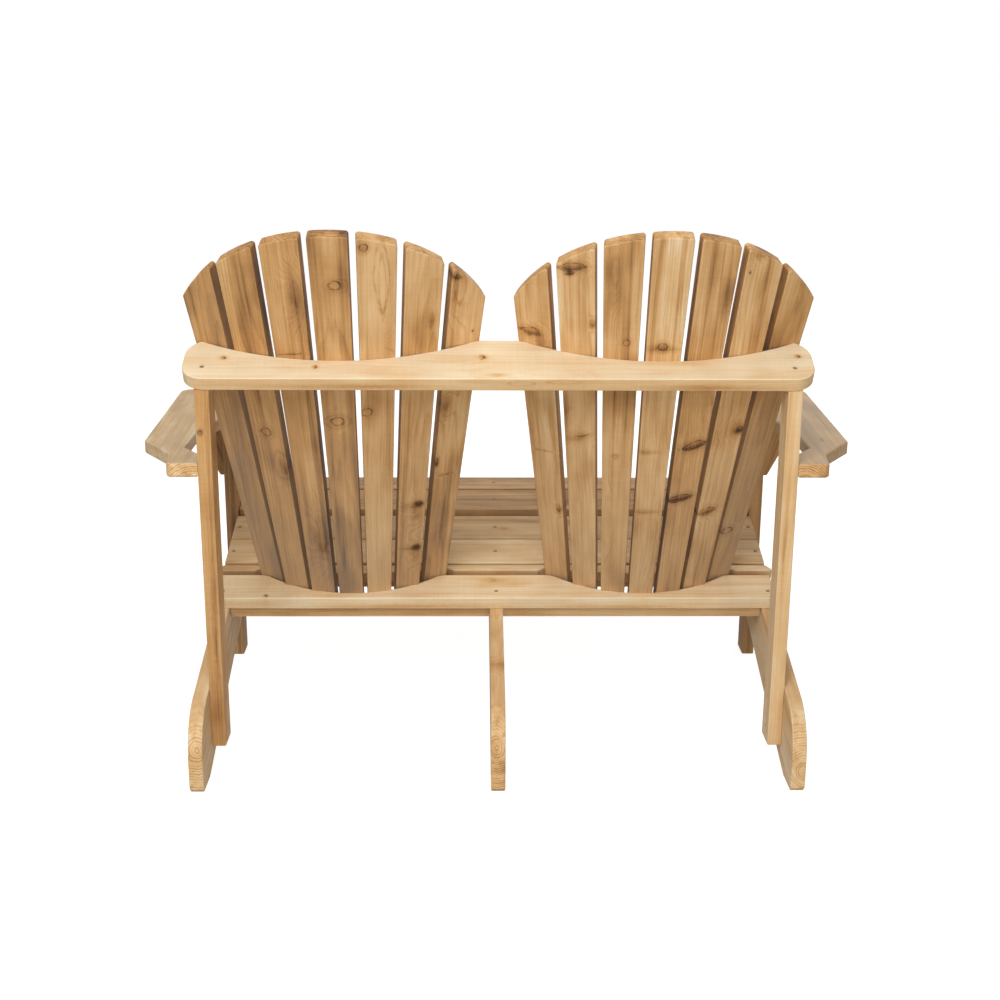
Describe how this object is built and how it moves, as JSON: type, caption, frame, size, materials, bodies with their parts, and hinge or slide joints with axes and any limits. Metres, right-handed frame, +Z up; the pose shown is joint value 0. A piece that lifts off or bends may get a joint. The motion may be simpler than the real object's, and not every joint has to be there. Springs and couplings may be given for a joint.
{
  "type": "adirondack loveseat",
  "caption": "Two-seat cedar adirondack bench: fan-shaped slat backs on scalloped rails, sloping slat seat on skids, shared frame with wide flat arms.",
  "frame": {"origin": "on the floor, under the middle of the loveseat's width and depth", "axes": "+Z up, the seat faces -Y, +X to the sitter's left"},
  "size_m": [1.311, 0.9161, 0.974],
  "materials": {
    "cedar": "bare planed cedar",
    "screw": "dull bronze coating"
  },
  "bodies": {
    "root": {"arm_bracket_left": "cedar", "arm_bracket_right": "cedar", "arm_bracket_screws": "screw", "arm_left": "cedar", "arm_right": "cedar", "arm_screws": "screw", "arm_tongue_screws": "screw", "back_slat_left_1": "cedar", "back_slat_left_2": "cedar", "back_slat_left_3": "cedar", "back_slat_left_4": "cedar", "back_slat_left_5": "cedar", "back_slat_left_6": "cedar", "back_slat_left_7": "cedar", "back_slat_lower_screws": "screw", "back_slat_right_1": "cedar", "back_slat_right_2": "cedar", "back_slat_right_3": "cedar", "back_slat_right_4": "cedar", "back_slat_right_5": "cedar", "back_slat_right_6": "cedar", "back_slat_right_7": "cedar", "back_slat_upper_screws": "screw", "front_leg_left": "cedar", "front_leg_right": "cedar", "front_leg_screws": "screw", "lower_back_rail": "cedar", "lower_rail_screws": "screw", "rail_cleat_left": "cedar", "rail_cleat_right": "cedar", "rail_cleat_screws": "screw", "rear_post_left": "cedar", "rear_post_right": "cedar", "rear_post_screws": "screw", "seat_cleat_left": "cedar", "seat_cleat_right": "cedar", "seat_cleat_screws": "screw", "seat_slat_1": "cedar", "seat_slat_2": "cedar", "seat_slat_3": "cedar", "seat_slat_4": "cedar", "seat_slat_5": "cedar", "seat_slat_6": "cedar", "seat_slat_7": "cedar", "seat_slat_screws": "screw", "skid_centre": "cedar", "skid_left": "cedar", "skid_right": "cedar", "upper_back_rail": "cedar", "upper_rail_screws": "screw"}
  },
  "joints": []
}
